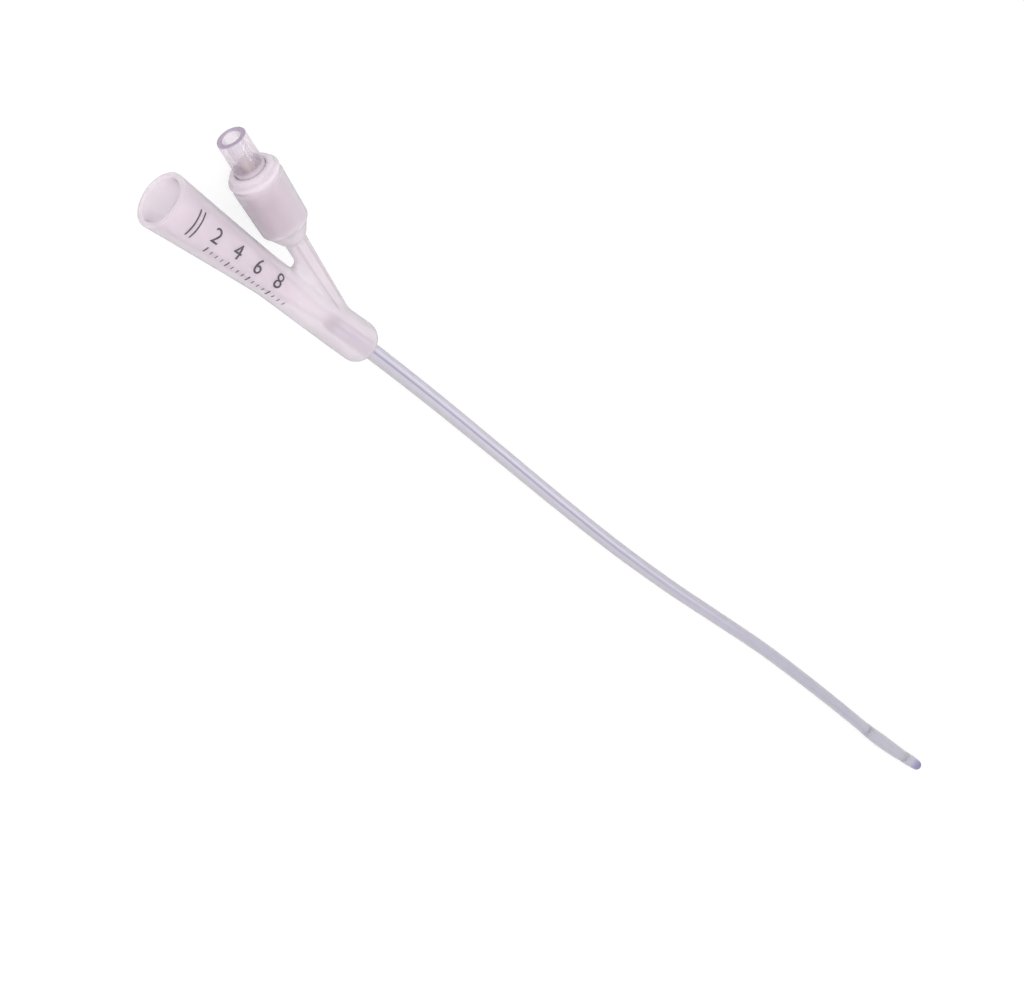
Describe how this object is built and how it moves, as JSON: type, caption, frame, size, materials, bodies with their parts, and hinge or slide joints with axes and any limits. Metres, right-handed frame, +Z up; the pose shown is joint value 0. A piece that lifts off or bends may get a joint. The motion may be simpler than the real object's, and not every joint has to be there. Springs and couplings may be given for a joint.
{
  "type": "two-way urinary balloon catheter",
  "caption": "Soft silicone drainage tube with a flared outlet funnel, a side arm ending in a spring valve, and a balloon sleeve behind a closed, rounded tip.",
  "frame": {"origin": "on the surface the catheter lies on, under the middle of its bounding box", "axes": "+X along the catheter from the drainage funnel's mouth to the tip, +Y towards the inflation arm, +Z up"},
  "size_m": [0.4156, 0.0324, 0.0128],
  "materials": {
    "moulded_silicone": "translucent, frosted",
    "extruded_silicone": "translucent, satin",
    "balloon_silicone": "translucent, satin",
    "tip_silicone": "translucent, satin",
    "clear_plastic": "clear, glossy",
    "plunger_plastic": "natural, matte",
    "seal_rubber": "matte",
    "spring_steel": "drawn wire",
    "retainer_plastic": "natural, matte"
  },
  "bodies": {
    "root": {"funnel_moulding": "moulded_silicone", "shaft_tube": "extruded_silicone", "balloon_sleeve": "balloon_silicone", "catheter_tip": "tip_silicone", "valve_body": "clear_plastic", "valve_retainer": "retainer_plastic", "valve_spring": "spring_steel"},
    "plunger": {"valve_plunger": "plunger_plastic", "valve_seal": "seal_rubber"}
  },
  "joints": [
    {"name": "plunger_press", "type": "slide", "parent": "root", "child": "plunger", "axis": [0.9535, -0.3007, -0.0219], "range_m": [0, 0.0015], "stiffness_N_per_m": 300, "springref_m": -0.003, "deforming": ["valve_spring"]}
  ]
}
